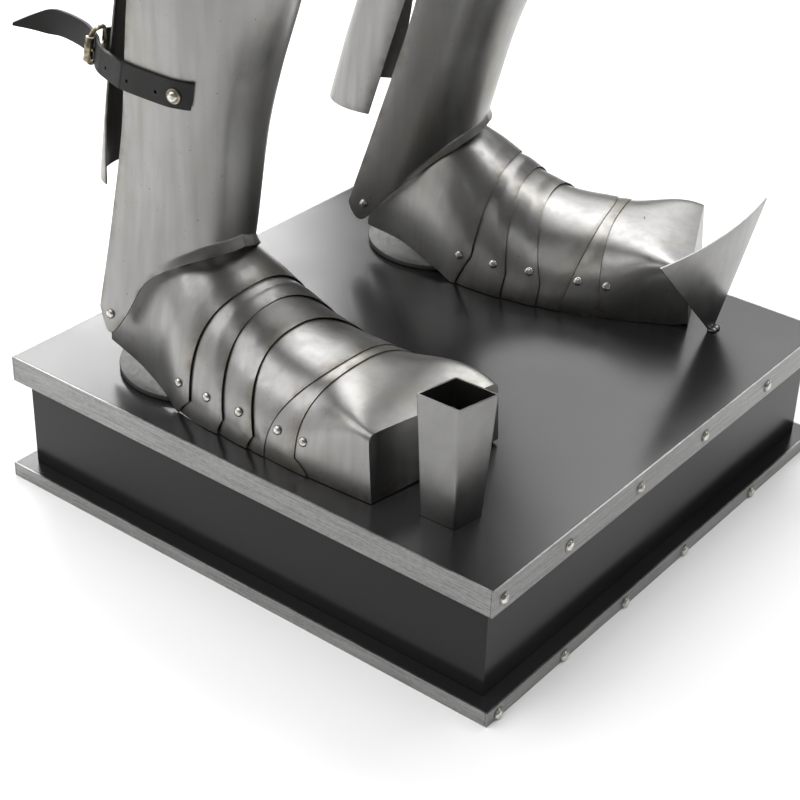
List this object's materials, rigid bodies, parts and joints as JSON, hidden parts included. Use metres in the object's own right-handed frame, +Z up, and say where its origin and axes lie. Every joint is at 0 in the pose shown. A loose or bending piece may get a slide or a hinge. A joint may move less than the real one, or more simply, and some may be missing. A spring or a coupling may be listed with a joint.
{
  "type": "suit of plate armour on a display plinth",
  "caption": "Standing suit of steel plate armour, hollow and open at its edges, with hinged visor, strapped greaves and lamed sabatons, held by an inner frame on a black display plinth.",
  "frame": {"origin": "centre of the plinth's underside, on the floor", "axes": "+Z up; the suit faces -Y, its right side is at -X and its left side at +X"},
  "size_m": [0.648, 0.5528, 1.916],
  "materials": {
    "plate_steel": "satin hand-polished steel plate with faint tarnish",
    "stand_steel": "satin sheet steel",
    "edge_strip": "steel strip brushed lengthwise",
    "frame_steel": "dark grey satin paint on welded tube",
    "black_board": "black satin lacquered board",
    "black_leather": "smooth black strap leather",
    "buckle_metal": "dull antique brass"
  },
  "bodies": {
    "suit": {"pole_socket": "stand_steel", "shield_rest": "stand_steel", "heel_disc_right": "stand_steel", "sabaton_ankle_plate_right": "plate_steel", "sabaton_lame_1_right": "plate_steel", "sabaton_lame_2_right": "plate_steel", "sabaton_vamp_right": "plate_steel", "sabaton_toe_band_right": "plate_steel", "sabaton_toe_cap_right": "plate_steel", "greave_front_right": "plate_steel", "greave_back_right": "plate_steel", "greave_strap_right": "black_leather", "greave_buckle_right": "buckle_metal", "greave_chape_right": "black_leather", "cuisse_right": "plate_steel", "poleyn_right": "plate_steel", "heel_disc_left": "stand_steel", "sabaton_ankle_plate_left": "plate_steel", "sabaton_lame_1_left": "plate_steel", "sabaton_lame_2_left": "plate_steel", "sabaton_vamp_left": "plate_steel", "sabaton_toe_band_left": "plate_steel", "sabaton_toe_cap_left": "plate_steel", "greave_front_left": "plate_steel", "greave_back_left": "plate_steel", "greave_strap_left": "black_leather", "greave_buckle_left": "buckle_metal", "greave_chape_left": "black_leather", "cuisse_left": "plate_steel", "poleyn_left": "plate_steel", "fauld": "plate_steel", "tasset_left": "plate_steel", "tasset_right": "plate_steel", "breastplate": "plate_steel", "backplate": "plate_steel", "gorget": "plate_steel", "pauldron_right": "plate_steel", "rerebrace_right": "plate_steel", "couter_right": "plate_steel", "vambrace_right": "plate_steel", "gauntlet_right": "plate_steel", "pauldron_left": "plate_steel", "rerebrace_left": "plate_steel", "couter_left": "plate_steel", "vambrace_left": "plate_steel", "gauntlet_left": "plate_steel", "helmet_skull": "plate_steel", "stand_inner_frame": "frame_steel", "plinth_base_board": "black_board", "plinth_body": "black_board", "plinth_top_board": "black_board", "strip_base_front": "edge_strip", "strip_base_back": "edge_strip", "strip_base_right": "edge_strip", "strip_base_left": "edge_strip", "strip_top_front": "edge_strip", "strip_top_back": "edge_strip", "strip_top_right": "edge_strip", "strip_top_left": "edge_strip"},
    "visor": {"helmet_visor": "plate_steel"}
  },
  "joints": [
    {"name": "visor_hinge", "type": "hinge", "parent": "suit", "child": "visor", "pos_m": [0.008, 0.094, 1.811], "axis": [-1, 0, 0], "range_deg": [0, 60]}
  ]
}
